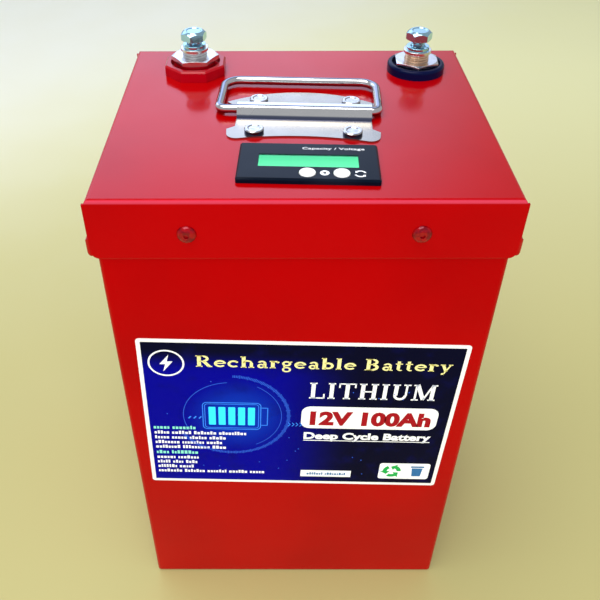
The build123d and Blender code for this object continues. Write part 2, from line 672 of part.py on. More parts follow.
post_end = CELL_TERMINAL_Y - 13 - LUG_LENGTH
post_z = bar_base + LUG_TUBE
top_z = BUSH_UNDER - LUG_TUBE
stud_z = stud_lug_z + LUG_TUBE
stud_end = BMS_STUDS[0][0] + 13 + LUG_LENGTH
FRONT_DROP = 2.0
positive_route = [(LEAD_X[0], post_end, post_z), (LEAD_X[0], FRONT_DROP, post_z),
                  (POSITIVE_AT[0], FRONT_DROP, top_z),
                  (POSITIVE_AT[0], POSITIVE_AT[1] - 17 - LUG_LENGTH, top_z)]
with BuildPart() as positive_lead:
    add(tube_along(positive_route, [12, 12], LEAD_R))
save(positive_lead, "positive_lead")

stud_y = BMS_STUDS[0][1]
cell_route = [(LEAD_X[1], post_end, post_z), (LEAD_X[1], stud_y, post_z),
              (LEAD_X[1], stud_y, stud_z), (stud_end, stud_y, stud_z)]
with BuildPart() as cell_negative_lead:
    add(tube_along(cell_route, [9, 9], LEAD_R))
save(cell_negative_lead, "cell_negative_lead")

pack_y = BMS_STUDS[1][1]
pack_route = [(stud_end, pack_y, stud_z), (NEGATIVE_AT[0], pack_y, stud_z),
              (NEGATIVE_AT[0], pack_y, top_z),
              (NEGATIVE_AT[0], NEGATIVE_AT[1] - 17 - LUG_LENGTH, top_z)]
with BuildPart() as pack_negative_lead:
    add(tube_along(pack_route, [12, 14], LEAD_R))
save(pack_negative_lead, "pack_negative_lead")

# Five thin sensing leads: one to each end and link of the cell chain.
WIRE_R = 0.8
SENSE_Z = BOARD_Z - 3.5
connector_y = BMS_Y - BMS[1] / 2
with BuildPart() as balance_connector:
    with Locations((0, connector_y, bms_z + 5)):
        Box(17, 6, 6, align=(Align.CENTER, Align.MAX, Align.MIN))
save(balance_connector, "balance_connector")

RING_EDGE = 6.6  # where a sensing lead meets a lug's ring, beside the nut
LEADS_FRONT = -78.0
ends = [(cell_x[0] + RING_EDGE, CELL_TERMINAL_Y), (cell_x[0] + pitch / 2, -CELL_TERMINAL_Y),
        (cell_x[1] + pitch / 2, CELL_TERMINAL_Y), (cell_x[2] + pitch / 2, -CELL_TERMINAL_Y),
        (cell_x[3] - RING_EDGE, CELL_TERMINAL_Y)]
with BuildPart() as balance_leads:
    for number, (x, y) in enumerate(ends):
        start_x = (number - 2) * 3.2
        fan_x = start_x + 0.25 * x
        route = [(start_x, connector_y - 6, bms_z + 8), (start_x, LEADS_FRONT, bms_z + 8),
                 (fan_x, LEADS_FRONT, SENSE_Z), (x, -62, SENSE_Z), (x, y, SENSE_Z), (x, y, bar_base + BAR)]
        if number == 2:
            route.remove((x, -62, SENSE_Z))
        add(tube_along(route, 2.2, WIRE_R))
save(balance_leads, "balance_leads")

# A fine pair of leads takes the terminal voltage to the display.
FEED_Z = 284.0
FEED_REACH = 14.0  # from a barrel's middle to where the lead meets the lug
socket = display_plane.from_local_coords(Vector(-18, 8, board_top - 7.6))
with BuildPart() as display_leads:
    for at, offset, beside in ((POSITIVE_AT, -1.5, 3.0), (NEGATIVE_AT, 1.5, -3.0)):
        route = [(socket.X + offset, socket.Y, socket.Z), (socket.X + offset, socket.Y, FEED_Z),
                 (at[0] + beside, at[1] - FEED_REACH, FEED_Z),
                 (at[0] + beside, at[1] - FEED_REACH, BUSH_UNDER - LUG)]
        add(tube_along(route, 4, WIRE_R))
save(display_leads, "display_leads")
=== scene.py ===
"""Looks of an upright deep cycle battery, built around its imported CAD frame."""
import math
import random

import bmesh
import bpy
from mathutils import Matrix, Vector


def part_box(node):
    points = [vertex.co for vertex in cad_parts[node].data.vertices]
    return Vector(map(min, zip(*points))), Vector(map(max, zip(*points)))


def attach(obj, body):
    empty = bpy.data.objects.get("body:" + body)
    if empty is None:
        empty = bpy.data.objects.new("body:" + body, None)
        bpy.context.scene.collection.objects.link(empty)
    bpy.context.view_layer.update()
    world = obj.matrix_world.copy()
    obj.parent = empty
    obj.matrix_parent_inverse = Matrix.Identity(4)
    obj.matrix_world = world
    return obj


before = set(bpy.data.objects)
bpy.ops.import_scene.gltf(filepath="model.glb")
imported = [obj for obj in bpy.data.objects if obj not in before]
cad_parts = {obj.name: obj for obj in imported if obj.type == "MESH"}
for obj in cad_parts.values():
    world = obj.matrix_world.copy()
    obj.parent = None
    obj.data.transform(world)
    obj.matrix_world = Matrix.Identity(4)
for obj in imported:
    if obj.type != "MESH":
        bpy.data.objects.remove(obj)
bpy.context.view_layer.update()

MM = 0.001

# Camera
CAMERA_PLACE = (-0.01334, -0.36337, 0.48649)
CAMERA_YAW = math.radians(-0.455)
CAMERA_DOWN = math.radians(40.043)
CAMERA_ROLL = math.radians(0.327)
CAMERA_LENS = 43.854  # millimetres on a 36 mm sensor
CAMERA_SHIFT = 0.0488

# Printed label, in millimetres
LABEL_TILT = math.radians(1.7)
LABEL_WIDTH = 176.0
LABEL_HEIGHT = 121.0
LABEL_BORDER = 2.3
INK = 0.04  # thickness of one printed layer

# Places on the label, in millimetres across and up from its middle
MARK = (-73.0, 43.0)
PICTURE = (-38.2, 1.3)
GLOW = (-34.0, 1.0)
ARROW_RING = (59.6, -46.6)
BIN = (75.0, -46.6)
SMALL_PRINT_LEFT = -83.4

# Lines of words on the label: left, baseline, right and height, in millimetres
HEADING_LINE = (-57.5, 40.8, 80.5, 8.4)
CHEMISTRY_LINE = (4.5, 17.6, 75.5, 12.6)
RATING_LINE = (6.5, -4.2, 76.0, 11.2)
KIND_LINE = (3.7, -17.2, 78.3, 5.8)

# Carrying handle, in millimetres
HANDLE_TURN = math.radians(-3.2)
PLATE_BENDS = ((-4.6, 0.9), (-0.6, 0.8))  # place and half width of the shade, back from the plate's middle

# Capacity display, in millimetres
DISPLAY_TURN = math.radians(-2.4)
PRINT = 0.05  # thickness of the print on the display
CAPTION_LINE = (-3.0, 10.9, 27.0, 2.0)  # left, baseline, right and height
TARGET = (7.6, -11.2)  # symbol beside the first button
CYCLE = (24.0, -11.4)  # symbol beside the second button

# Serif letters, where a capital is 1 high
STEM = 0.19  # thick strokes
HAIR = 0.075  # thin strokes and serifs
LETTER_GAP = 0.09

# Sockets of a Mix node for colours
MIX_FACTOR, MIX_ONE, MIX_OTHER = 0, 6, 7
MIX_RESULT = 2


# ---------------------------------------------------------------- materials

class Nodes:
    """Short ways to make and join the nodes of one shader tree."""

    def __init__(self, tree, coordinates):
        self.nodes = tree.nodes
        self.links = tree.links
        self.place = self.nodes.new("ShaderNodeTexCoord").outputs[coordinates]

    def along(self, axis, place=None):
        """One coordinate of a place, which is the shaded point itself unless another is given."""
        apart = self.nodes.new("ShaderNodeSeparateXYZ")
        self.links.new(self.place if place is None else place, apart.inputs["Vector"])
        return apart.outputs[axis]

    def maths(self, operation, one, other=None):
        """The result of a Math node, whose inputs are sockets or numbers."""
        node = self.nodes.new("ShaderNodeMath")
        node.operation = operation
        for socket, value in zip(node.inputs, (one, other)):
            if isinstance(value, bpy.types.NodeSocket):
                self.links.new(value, socket)
            elif value is not None:
                socket.default_value = value
        return node.outputs["Value"]

    def band(self, fac, low, high, to_low=0.0, to_high=1.0):
        """fac from low to high, which may run downwards, mapped smoothly to the range asked for."""
        band = self.nodes.new("ShaderNodeMapRange")
        band.interpolation_type = "SMOOTHSTEP"
        for socket, value in (("From Min", low), ("From Max", high), ("To Min", to_low), ("To Max", to_high)):
            band.inputs[socket].default_value = value
        self.links.new(fac, band.inputs["Value"])
        return band.outputs["Result"]

    def blend(self, fac, one, other):
        """From one colour, or a socket that gives it, to another as fac goes from 0 to 1."""
        mix = self.nodes.new("ShaderNodeMix")
        mix.data_type = "RGBA"
        self.links.new(fac, mix.inputs[MIX_FACTOR])
        if isinstance(one, bpy.types.NodeSocket):
            self.links.new(one, mix.inputs[MIX_ONE])
        else:
            mix.inputs[MIX_ONE].default_value = (*one, 1.0)
        mix.inputs[MIX_OTHER].default_value = (*other, 1.0)
        return mix.outputs[MIX_RESULT]


class Surface(Nodes):
    """A Principled material whose colour, roughness and relief vary with procedural textures."""

    def __init__(self, name, color, roughness, metallic=0.0, **sockets):
        self.material = bpy.data.materials.new(name)
        self.material.use_nodes = True
        super().__init__(self.material.node_tree, "Object")
        self.shader = self.nodes["Principled BSDF"]
        self.shader.inputs["Base Color"].default_value = (*color, 1.0)
        self.shader.inputs["Roughness"].default_value = roughness
        self.shader.inputs["Metallic"].default_value = metallic
        for socket, value in sockets.items():
            self.shader.inputs[socket.replace("_", " ")].default_value = value
        self.color = color
        self.normal = None

    def noise(self, scale, detail=4.0, stretch=(1.0, 1.0, 1.0)):
        """Noise of so many features a metre, drawn out along the axes with a small stretch."""
        mapping = self.nodes.new("ShaderNodeMapping")
        mapping.inputs["Scale"].default_value = stretch
        self.links.new(self.place, mapping.inputs["Vector"])
        noise = self.nodes.new("ShaderNodeTexNoise")
        noise.inputs["Scale"].default_value = scale
        noise.inputs["Detail"].default_value = detail
        self.links.new(mapping.outputs["Vector"], noise.inputs["Vector"])
        return noise.outputs["Fac"]

    def cells(self, scale):
        """Distance to scattered points, so many a metre."""
        cells = self.nodes.new("ShaderNodeTexVoronoi")
        cells.inputs["Scale"].default_value = scale
        self.links.new(self.place, cells.inputs["Vector"])
        return cells.outputs["Distance"]

    def color_by(self, fac, other, low=0.35, high=0.65, most=1.0):
        """Blends the colour so far towards another as fac goes from low to high, which may run downwards."""
        self.color = self.blend(self.band(fac, low, high, 0.0, most), self.color, other)
        self.links.new(self.color, self.shader.inputs["Base Color"])

    def roughness_by(self, fac, low, high):
        """Roughness between low and high, following fac."""
        self.links.new(self.band(fac, 0.3, 0.7, low, high), self.shader.inputs["Roughness"])

    def relief(self, fac, height):
        """Bumps of about that height in metres."""
        bump = self.nodes.new("ShaderNodeBump")
        bump.inputs["Distance"].default_value = height
        self.links.new(fac, bump.inputs["Height"])
        if self.normal is not None:
            self.links.new(self.normal, bump.inputs["Normal"])
        self.normal = bump.outputs["Normal"]
        self.links.new(self.normal, self.shader.inputs["Normal"])

    def soft_edges(self, radius):
        """Sharp edges catch the light as if they were rounded."""
        bevel = self.nodes.new("ShaderNodeBevel")
        bevel.samples = 6
        bevel.inputs["Radius"].default_value = radius
        self.normal = bevel.outputs["Normal"]
        self.links.new(self.normal, self.shader.inputs["Normal"])


def red_powder_coat(name, gloss):
    """Glossy red coat on sheet steel, with orange peel, faint pull in the sheet, dust specks and a painted
    highlight over the lid's top bends.
    """
    coat = Surface(name, (0.42, 0.0, 0.001), 0.14, Specular_IOR_Level=gloss)
    coat.shader.inputs["Specular Tint"].default_value = (1.0, 0.03, 0.1, 1.0)
    coat.soft_edges(0.8 * MM)
    coat.color_by(coat.noise(9, 3), (0.36, 0.0, 0.001), 0.4, 0.7)
    coat.color_by(coat.cells(160), (0.27, 0.003, 0.003), 0.06, 0.03, 0.6)
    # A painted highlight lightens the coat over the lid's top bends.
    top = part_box("lid")[1].z
    above_skirt = coat.band(coat.along("Z"), top - 2.2 * MM, top - 1.2 * MM)
    below_face = coat.band(coat.along("Z"), top - 0.1 * MM, top - 0.6 * MM)
    coat.color_by(coat.maths("MULTIPLY", above_skirt, below_face), (0.62, 0.07, 0.13), 0.0, 1.0, 0.6)
    coat.roughness_by(coat.noise(26, 5), 0.11, 0.19)
    coat.relief(coat.noise(11, 1), 0.25 * MM)
    coat.relief(coat.noise(750, 2), 0.004 * MM)
    return coat.material


def painted_rivet():
    """The same coat, darker and glossier on a small domed head, with darker patches."""
    coat = Surface("painted_rivet", (0.3, 0.0, 0.002), 0.08, Specular_IOR_Level=0.9)
    coat.shader.inputs["Specular Tint"].default_value = (1.0, 0.35, 0.45, 1.0)
    coat.soft_edges(0.15 * MM)
    coat.color_by(coat.noise(260, 3), (0.14, 0.0, 0.004), 0.42, 0.62)
    coat.relief(coat.noise(500, 2), 0.01 * MM)
    return coat.material


def plated(name, color, roughness, scratches, edge=0.25):
    """Bright plated metal, with fine rubbing marks and faint clouding."""
    metal = Surface(name, color, roughness, 1.0)
    metal.soft_edges(edge * MM)
    duller = tuple(0.9 * share for share in color)
    metal.color_by(metal.noise(140, 3), duller, 0.4, 0.75)
    metal.roughness_by(metal.noise(90, 6, (1.0, 6.0, 1.0)), 0.8 * roughness, 1.35 * roughness)
    metal.relief(metal.noise(300, 3, (0.2, 3.0, 3.0)), scratches * MM)
    return metal.material


def chrome_rod():
    """Chromium plating on the handle's rod, with painted dark reflections underneath and along its crest."""
    rod = Surface("chrome_plate", (0.78, 0.77, 0.78), 0.1, 1.0)
    low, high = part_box("handle_bail")
    rod.color_by(rod.noise(140, 3), (0.7, 0.69, 0.7), 0.4, 0.75)
    # Painted dark reflection of the lid on the underside of the rod.
    rod.color_by(rod.along("Z"), (0.16, 0.1, 0.16), low.z + 2.5 * MM, low.z + 1.6 * MM, 0.9)
    # Painted dark reflection along the crest of the rod.
    rod.color_by(rod.along("Z"), (0.2, 0.22, 0.3), high.z - 0.35 * MM, high.z - 0.1 * MM, 0.9)
    rod.roughness_by(rod.noise(90, 6, (1.0, 6.0, 1.0)), 0.08, 0.14)
    rod.relief(rod.noise(300, 3, (0.2, 3.0, 3.0)), 0.001 * MM)
    return rod.material


def rivet_steel():
    """Polished rivet heads, with a painted dark reflection on their sides."""
    head = Surface("rivet_steel", (0.6, 0.58, 0.58), 0.16, 1.0)
    head.soft_edges(0.25 * MM)
    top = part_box("handle_rivets")[1].z
    head.color_by(head.noise(400, 3), (0.45, 0.44, 0.46), 0.4, 0.75)
    # Painted dark reflection on the sides of the heads, below their tops.
    head.color_by(head.along("Z"), (0.03, 0.03, 0.1), top - 0.45 * MM, top - 0.75 * MM, 0.95)
    head.relief(head.noise(500, 3), 0.002 * MM)
    return head.material


def pressed_plate():
    """Satin nickel plating, with a painted highlight on the rib and painted shade at the bends beside it."""
    plate = Surface("bright_nickel_plate", (0.45, 0.41, 0.36), 0.26, 1.0)
    low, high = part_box("handle_plate")
    middle = (low + high) / 2
    turned = plate.nodes.new("ShaderNodeMapping")
    turned.vector_type = "TEXTURE"
    turned.inputs["Location"].default_value = (middle.x, middle.y, 0.0)
    turned.inputs["Rotation"].default_value = (0.0, 0.0, HANDLE_TURN)
    plate.links.new(plate.place, turned.inputs["Vector"])
    back = plate.along("Y", turned.outputs["Vector"])
    plate.color_by(plate.noise(60, 2), (0.43, 0.39, 0.34), 0.4, 0.75)
    # Painted highlight on the raised rib.
    plate.color_by(plate.along("Z"), (0.8, 0.8, 0.8), low.z + 1.0 * MM, low.z + 1.8 * MM)
    # Painted shade along the bends beside the rib.
    for bend, half_width in PLATE_BENDS:
        away = plate.maths("ABSOLUTE", plate.maths("SUBTRACT", back, bend * MM))
        plate.color_by(away, (0.06, 0.08, 0.17), half_width * MM, 0.5 * half_width * MM, 0.9)
    plate.roughness_by(plate.noise(60, 2), 0.24, 0.28)
    return plate.material


def moulded(name, color, roughness, grain=0.004, gloss=0.5):
    """Moulded plastic, with flow marks and a fine grain."""
    plastic = Surface(name, color, roughness, Specular_IOR_Level=gloss)
    plastic.soft_edges(0.3 * MM)
    lighter = tuple(min(1.0, 1.25 * share + 0.004) for share in color)
    plastic.color_by(plastic.noise(45, 4), lighter, 0.45, 0.75)
    plastic.roughness_by(plastic.noise(130, 5), 0.75 * roughness, 1.3 * roughness)
    plastic.relief(plastic.noise(1500, 3), grain * MM)
    return plastic.material


def lead(name, color):
    """Silicone insulation on a stranded lead, slightly dusty."""
    cover = Surface(name, color, 0.42)
    cover.color_by(cover.noise(150, 5), tuple(0.5 * share + 0.06 for share in color), 0.5, 0.85, 0.5)
    cover.roughness_by(cover.noise(80, 3), 0.34, 0.55)
    cover.relief(cover.noise(520, 3), 0.03 * MM)
    return cover.material


def foam():
    """Dark closed-cell foam with open skin cells."""
    body = Surface("foam", (0.028, 0.028, 0.03), 0.9)
    skin = body.cells(900)
    body.color_by(skin, (0.075, 0.075, 0.08), 0.3, 0.7)
    body.relief(skin, 0.35 * MM)
    return body.material


def circuit_board():
    """Green solder mask over copper tracks."""
    board = Surface("circuit_board", (0.012, 0.12, 0.045), 0.35)
    tracks = board.noise(160, 1, (8.0, 1.0, 1.0))
    board.color_by(tracks, (0.03, 0.26, 0.09), 0.5, 0.54)
    board.relief(tracks, 0.05 * MM)
    return board.material


def cell_film():
    """Blue insulating film shrunk over an aluminium can."""
    film = Surface("cell_film", (0.01, 0.07, 0.4), 0.3, Coat_Weight=0.5, Coat_Roughness=0.12)
    film.color_by(film.noise(24, 3), (0.02, 0.11, 0.5), 0.4, 0.7)
    film.relief(film.noise(60, 6, (1.0, 1.0, 0.15)), 0.25 * MM)
    return film.material


def fibre_board():
    """Pressed glass-fibre board with its woven cloth showing."""
    board = Surface("fibre_board", (0.5, 0.44, 0.2), 0.5)
    upright = board.noise(700, 2, (1.0, 1.0, 0.1))
    level = board.noise(700, 2, (0.1, 0.1, 1.0))
    board.color_by(upright, (0.62, 0.56, 0.3), 0.4, 0.6)
    board.color_by(level, (0.4, 0.35, 0.15), 0.45, 0.6, 0.6)
    board.relief(upright, 0.05 * MM)
    return board.material


def lcd_glass():
    """Green liquid crystal with a painted glow, brighter towards its lower edge."""
    panel = Surface("lcd_glass", (0.02, 0.3, 0.12), 0.3)
    low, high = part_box("display_panel")
    ramp = panel.nodes.new("ShaderNodeValToRGB")
    ramp.color_ramp.elements[0].color = (0.15, 0.95, 0.5, 1.0)
    ramp.color_ramp.elements[1].color = (0.03, 0.62, 0.3, 1.0)
    panel.links.new(panel.band(panel.along("Y"), low.y, high.y), ramp.inputs["Fac"])
    # Painted glow, brighter towards the lower edge of the panel.
    panel.links.new(ramp.outputs["Color"], panel.shader.inputs["Emission Color"])
    panel.shader.inputs["Emission Strength"].default_value = 0.85
    return panel.material


def clear_window():
    """Clear window over the liquid crystal."""
    window = Surface("clear_window", (0.86, 1.0, 0.93), 0.03, IOR=1.3, Transmission_Weight=1.0)
    window.relief(window.noise(60, 2), 0.01 * MM)
    return window.material


def printed_white():
    """White film under a gloss laminate."""
    film = Surface("printed_white", (0.9, 0.91, 0.94), 0.25, Specular_IOR_Level=0.3)
    film.color_by(film.noise(300, 3), (0.84, 0.86, 0.9), 0.5, 0.8)
    film.relief(film.noise(50, 2), 0.02 * MM)
    return film.material


def printed_field():
    """Blue field of the label, which glows round the cell picture and darkens towards its right and top."""
    field = Surface("printed_field", (0.0005, 0.001, 0.016), 0.2, Specular_IOR_Level=0.05)
    from_right = field.band(field.along("X"), 45 * MM, -35 * MM)
    from_top = field.band(field.along("Y"), 56 * MM, 32 * MM)
    field.color_by(field.maths("MULTIPLY", from_right, from_top), (0.0, 0.0, 0.29), 0.0, 1.0)
    away = field.nodes.new("ShaderNodeVectorMath")
    away.operation = "DISTANCE"
    away.inputs[1].default_value = (GLOW[0] * MM, GLOW[1] * MM, 0.0)
    field.links.new(field.place, away.inputs[0])
    field.color_by(away.outputs["Value"], (0.002, 0.04, 0.5), 34 * MM, 6 * MM, 0.8)
    field.color_by(field.noise(70, 4), (0.002, 0.003, 0.1), 0.5, 0.8, 0.5)
    field.relief(field.noise(50, 2), 0.02 * MM)
    return field.material


def ink(name, color, strength=0.0):
    """Printing ink, slightly uneven, with a little light of its own where it has to look luminous."""
    layer = Surface(name, color, 0.25, Specular_IOR_Level=0.15)
    layer.color_by(layer.noise(400, 3), tuple(0.85 * share for share in color), 0.5, 0.8)
    layer.shader.inputs["Emission Color"].default_value = (*color, 1.0)
    layer.shader.inputs["Emission Strength"].default_value = strength
    return layer.material


def finish_nodes():
    """Gives every CAD node its material."""
    looks = {
        red_powder_coat("red_case_coat", 0.2): ("case_shell",),
        red_powder_coat("red_lid_coat", 0.45): ("lid",),
        painted_rivet(): ("lid_rivets",),
        printed_white(): ("front_label",),
        chrome_rod(): ("handle_bail",),
        pressed_plate(): ("handle_plate",),
        rivet_steel(): ("handle_rivets",),
        plated("screw_steel", (0.66, 0.68, 0.72), 0.16, 0.002): ("bms_screws",),
        plated("nickel", (0.78, 0.78, 0.8), 0.18, 0.002): (
            "terminal_nuts", "inner_nuts", "positive_barrel", "cell_nuts", "bms_nuts",
            "positive_flat_washer", "negative_flat_washer"),
        plated("turned_brass", (0.9, 0.6, 0.4), 0.18, 0.002): ("negative_barrel",),
        plated("zinc_plate", (0.45, 0.72, 0.86), 0.1, 0.002): (
            "positive_spring_washer", "positive_bolt", "negative_spring_washer", "negative_bolt"),
        plated("copper", (0.8, 0.4, 0.26), 0.25, 0.004): ("busbars",),
        plated("tinned_copper", (0.7, 0.69, 0.66), 0.28, 0.004): ("cable_lugs",),
        plated("strap_steel", (0.5, 0.5, 0.52), 0.35, 0.006): ("pack_straps",),
        plated("heat_sink", (0.72, 0.73, 0.75), 0.35, 0.006): ("bms_heat_sink",),
        plated("switch_metal", (0.6, 0.6, 0.62), 0.3, 0.004): ("display_switches",),
        moulded("bezel_black", (0.001, 0.004, 0.012), 0.1, 0.001, 0.08): ("display_bezel",),
        moulded("red_insulator", (0.36, 0.0, 0.006), 0.1, 0.004, 0.3): ("positive_insulator",),
        moulded("black_insulator", (0.001, 0.003, 0.03), 0.14, 0.003, 0.1): (
            "negative_insulator", "lower_bushes"),
        moulded("button_white", (0.85, 0.87, 0.86), 0.3): ("select_button", "mode_button"),
        moulded("diffuser", (0.88, 0.9, 0.87), 0.6): ("display_backlight",),
        moulded("white_nylon", (0.82, 0.8, 0.74), 0.45): ("display_connector", "balance_connector"),
        moulded("module_black", (0.012, 0.012, 0.014), 0.5, 0.03): ("bms_module",),
        lcd_glass(): ("display_panel",),
        clear_window(): ("display_window",),
        circuit_board(): ("display_board",),
        cell_film(): ("cell_1", "cell_2", "cell_3", "cell_4"),
        fibre_board(): ("cell_spacers", "end_plates", "insulating_board"),
        foam(): ("base_pad", "side_pads", "front_back_pads"),
        lead("lead_red", (0.5, 0.006, 0.006)): ("positive_lead",),
        lead("lead_black", (0.012, 0.012, 0.013)): (
            "cell_negative_lead", "pack_negative_lead", "balance_leads", "display_leads"),
    }
    for material, names in looks.items():
        for name in names:
            for material_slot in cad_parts[name].material_slots:
                material_slot.material = material


# ---------------------------------------------------------------- flat artwork

QUARTERS = ((1, 1), (-1, 1), (-1, -1), (1, -1))  # the four corners, anticlockwise from the top right


def rounded(u, v, width, height, radius):
    """A rectangle with rounded corners, centred on u, v."""
    outline = []
    for turn, (side, rise) in enumerate(QUARTERS):
        for step in range(7):
            angle = math.radians(90 * turn + 15 * step)
            outline.append((u + side * (width / 2 - radius) + radius * math.cos(angle),
                            v + rise * (height / 2 - radius) + radius * math.sin(angle)))
    return outline


def bar(u0, v0, u1, v1, width):
    """A straight line of that width from one point to another."""
    along = Vector((u1 - u0, v1 - v0)).normalized()
    side = Vector((-along.y, along.x)) * (width / 2)
    return [(u0 + side.x, v0 + side.y), (u0 - side.x, v0 - side.y),
            (u1 - side.x, v1 - side.y), (u1 + side.x, v1 + side.y)]


def arc_band(u, v, radius, width, start, end, steps=40):
    """Part of a ring, as one outline, from one angle in degrees to another."""
    angles = [math.radians(start + (end - start) * step / steps) for step in range(steps + 1)]
    outer = [(u + (radius + width / 2) * math.cos(a), v + (radius + width / 2) * math.sin(a)) for a in angles]
    inner = [(u + (radius - width / 2) * math.cos(a), v + (radius - width / 2) * math.sin(a)) for a in angles]
    return outer + inner[::-1]


def ring(u, v, radius, width):
    """A whole ring, in two halves."""
    return [arc_band(u, v, radius, width, 0, 180), arc_band(u, v, radius, width, 180, 360)]


def frame_line(u, v, width, height, radius, line):
    """The outline of a rounded rectangle, in four sides and four corners."""
    across, up = width / 2 - radius, height / 2 - radius
    shapes = []
    for side in (-1, 1):
        edge = v + side * height / 2
        shapes.append(bar(u - across, edge, u + across, edge, line))
    for side in (-1, 1):
        edge = u + side * width / 2
        shapes.append(bar(edge, v - up, edge, v + up, line))
    for turn, (side, rise) in enumerate(QUARTERS):
        shapes.append(arc_band(u + side * across, v + rise * up, radius, line, 90 * turn, 90 * turn + 90, 6))
    return shapes


def arc_arrow(u, v, radius, width, start, end, head):
    """An arrow bent round a circle, with its head at the end angle."""
    flare = 1.15 * width
    tip = math.radians(end + head)
    base = math.radians(end)
    point = [(u + (radius + flare) * math.cos(base), v + (radius + flare) * math.sin(base)),
             (u + radius * math.cos(tip), v + radius * math.sin(tip)),
             (u + (radius - flare) * math.cos(base), v + (radius - flare) * math.sin(base))]
    return [arc_band(u, v, radius, width, start, end, 12), point]


def small_print(u, v, length, height, seed):
    """Plain blocks that stand in for a line of small print."""
    draw = random.Random(seed)
    shapes = []
    reach = u
    while reach < u + length:
        for _ in range(draw.randint(4, 9)):
            width = height * draw.uniform(0.34, 0.6)
            tall = height * draw.choice((0.72, 0.72, 1.0))
            shapes.append([(reach, v), (reach + width, v), (reach + width, v + tall), (reach, v + tall)])
            reach += width + 0.2 * height
        reach += 0.45 * height
    return shapes


def serif_letters():
    """Upright letters on a baseline of 0, with capitals 1 high: each has its width and its strokes."""

    def post(u, low=0.0, high=1.0, width=STEM):
        return bar(u, low, u, high, width)

    def foot(u, v=HAIR / 2, half=0.17):
        return bar(u - half, v, u + half, v, HAIR)

    def ball(u, v):
        return rounded(u, v, 0.15, 0.15, 0.07)

    def bowl(u, v, radius, width):
        return arc_band(u, v, radius, width, -90, 90, 16)

    top = 1 - HAIR / 2
    left_stem = [post(0.21), foot(0.21), foot(0.21, top)]
    ascender = [post(0.16), foot(0.1, top, 0.1)]
    return {
        " ": (0.24, []),
        "L": (0.78, left_stem + [bar(0.21, HAIR / 2, 0.76, HAIR / 2, HAIR), post(0.73, 0, 0.3, HAIR)]),
        "I": (0.42, left_stem),
        "T": (0.86, [post(0.43), foot(0.43), foot(0.43, top, 0.41),
                     post(0.06, 0.72, 1, HAIR), post(0.8, 0.72, 1, HAIR)]),
        "H": (0.96, left_stem + [post(0.75), foot(0.75), foot(0.75, top), bar(0.21, 0.5, 0.75, 0.5, HAIR)]),
        "U": (0.9, [post(0.21, 0.3), post(0.7, 0.3, 1, 0.1), arc_band(0.43, 0.31, 0.245, 0.13, 180, 360, 16),
                    foot(0.21, top), foot(0.71, top)]),
        "M": (1.16, [post(0.16, width=0.1), post(0.95),
                     bar(0.2, 1, 0.56, 0.06, STEM), bar(0.56, 0.04, 0.92, 1, 0.09),
                     foot(0.16), foot(0.15, top, 0.13), foot(0.95), foot(1.02, top, 0.12)]),
        "R": (0.88, left_stem + [foot(0.33, top, 0.1), foot(0.33, 0.5, 0.12), bowl(0.43, 0.73, 0.2, 0.14),
                                 bar(0.44, 0.5, 0.72, 0.05, STEM), foot(0.75, half=0.12)]),
        "B": (0.8, left_stem + [foot(0.33, top, 0.1), foot(0.33, 0.52, 0.12), bowl(0.42, 0.74, 0.19, 0.14),
                                foot(0.33, half=0.12), bowl(0.44, 0.27, 0.21, 0.16)]),
        "e": (0.6, [arc_band(0.3, 0.32, 0.24, 0.13, 5, 320, 24), foot(0.31, 0.34, 0.23)]),
        "c": (0.56, [arc_band(0.3, 0.32, 0.24, 0.13, 50, 315, 20), ball(0.45, 0.49)]),
        "h": (0.72, ascender + [foot(0.16, half=0.15), arc_band(0.36, 0.42, 0.19, 0.11, 0, 180, 16),
                                post(0.55, 0, 0.43, 0.16), foot(0.55, half=0.15)]),
        "a": (0.58, [arc_band(0.28, 0.43, 0.16, 0.12, -10, 160, 14), post(0.43, 0.04, 0.45, 0.15),
                     foot(0.5, half=0.08)] + ring(0.24, 0.18, 0.14, 0.11)),
        "r": (0.5, [post(0.16, 0, 0.64), foot(0.16, half=0.15), foot(0.1, 0.61, 0.1),
                    arc_band(0.32, 0.46, 0.14, 0.1, 40, 170, 10), ball(0.42, 0.54)]),
        "g": (0.58, ring(0.27, 0.43, 0.17, 0.12) + ring(0.28, -0.1, 0.18, 0.1)
              + [bar(0.38, 0.56, 0.55, 0.6, HAIR), bar(0.15, 0.3, 0.17, 0.02, 0.1)]),
        "b": (0.66, ascender + [arc_band(0.34, 0.32, 0.23, 0.14, -130, 130, 24)]),
        "l": (0.34, ascender + [foot(0.16, half=0.15)]),
        "t": (0.42, [post(0.18, 0.12, 0.84, 0.16), foot(0.2, 0.61, 0.18),
                     arc_band(0.28, 0.14, 0.1, 0.09, 180, 320, 10)]),
        "y": (0.64, [bar(0.13, 0.63, 0.34, 0.02, 0.16), bar(0.54, 0.63, 0.24, -0.2, HAIR),
                     foot(0.13, 0.61, 0.13), foot(0.53, 0.61, 0.11), ball(0.18, -0.2)]),
    }


def serif_line(words, line):
    """Words in upright serif letters, on a line given as left, baseline, right and height of a capital."""
    left, baseline, right, height = line
    letters = serif_letters()
    total = sum(letters[letter][0] + LETTER_GAP for letter in words) - LETTER_GAP
    stretch = (right - left) / total
    shapes = []
    reach = 0.0
    for letter in words:
        width, strokes = letters[letter]
        for stroke in strokes:
            shapes.append([(left + (reach + u) * stretch, baseline + v * height) for u, v in stroke])
        reach += width + LETTER_GAP
    return shapes


def word_mesh(words, bold):
    """Words as a closed mesh one unit thick, from Blender's own letters."""
    curve = bpy.data.curves.new("words", "FONT")
    curve.body = words
    curve.offset = bold
    curve.extrude = 0.5
    curve.resolution_u = 4
    shown = bpy.data.objects.new("words", curve)
    mesh = bpy.data.meshes.new_from_object(shown)
    bpy.data.objects.remove(shown)
    return mesh


